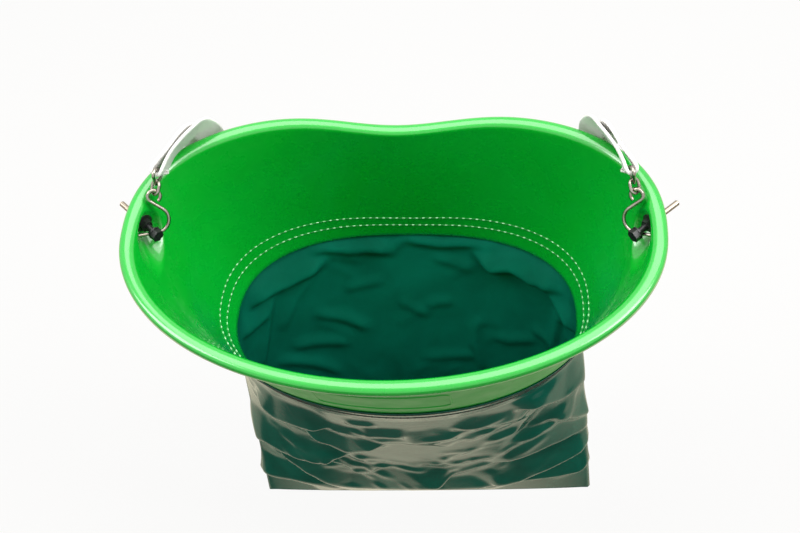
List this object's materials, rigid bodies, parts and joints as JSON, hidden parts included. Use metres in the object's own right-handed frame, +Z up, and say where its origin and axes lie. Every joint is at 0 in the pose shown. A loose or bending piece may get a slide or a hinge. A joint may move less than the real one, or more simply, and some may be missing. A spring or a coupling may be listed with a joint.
{
  "type": "harvest basket",
  "caption": "kidney-shaped plastic picking bucket with a sewn-on fabric bag, bolts, S-hooks and a webbing carrying strap",
  "frame": {"origin": "middle of the rim's top plane", "axes": "+X along the width to the picker's left, +Y towards the picker's body, +Z up out of the mouth"},
  "size_m": [0.4882, 0.2955, 0.4692],
  "materials": {
    "shell_plastic": "glossy moulded polyethylene",
    "bag_fabric": "coated nylon cloth",
    "thread": "heavy polyester thread",
    "webbing": "woven cotton webbing",
    "strap_thread": "polyester thread",
    "bolt_black": "black oxide",
    "zinc_steel": "zinc plated",
    "wire_steel": "bright formed wire"
  },
  "bodies": {
    "root": {"shell": "shell_plastic", "bag": "bag_fabric", "upper_stitches": "thread", "lower_stitches": "thread", "carrying_strap": "webbing", "left_bolt": "bolt_black", "left_inner_nut": "bolt_black", "left_inner_washer": "bolt_black", "left_outer_washer": "zinc_steel", "left_outer_nut": "zinc_steel", "left_strap_tack": "strap_thread", "right_bolt": "bolt_black", "right_inner_nut": "bolt_black", "right_inner_washer": "bolt_black", "right_outer_washer": "zinc_steel", "right_outer_nut": "zinc_steel", "right_strap_tack": "strap_thread"},
    "left_hook": {"left_s_hook": "wire_steel"},
    "left_ring": {"left_link": "wire_steel", "left_strap_ring": "wire_steel"},
    "right_hook": {"right_s_hook": "wire_steel"},
    "right_ring": {"right_link": "wire_steel", "right_strap_ring": "wire_steel"}
  },
  "joints": [
    {"name": "left_hook_swing", "type": "hinge", "parent": "root", "child": "left_hook", "pos_m": [-0.21353, 0.03073, -0.02], "axis": [0.7431, -0.6691, 0], "range_deg": [-4, 16], "deforming": ["carrying_strap"]},
    {"name": "left_ring_swing", "type": "hinge", "parent": "left_hook", "child": "left_ring", "pos_m": [-0.20566, 0.05283, 0.0056], "axis": [0.8813, 0.1495, -0.4483], "range_deg": [-4, 4], "deforming": ["carrying_strap"]},
    {"name": "right_hook_swing", "type": "hinge", "parent": "root", "child": "right_hook", "pos_m": [0.21353, 0.03073, -0.02], "axis": [0.7431, 0.6691, 0], "range_deg": [-4, 16], "deforming": ["carrying_strap"]},
    {"name": "right_ring_swing", "type": "hinge", "parent": "right_hook", "child": "right_ring", "pos_m": [0.20566, 0.05283, 0.0056], "axis": [0.8813, -0.1495, 0.4483], "range_deg": [-4, 4], "deforming": ["carrying_strap"]}
  ]
}
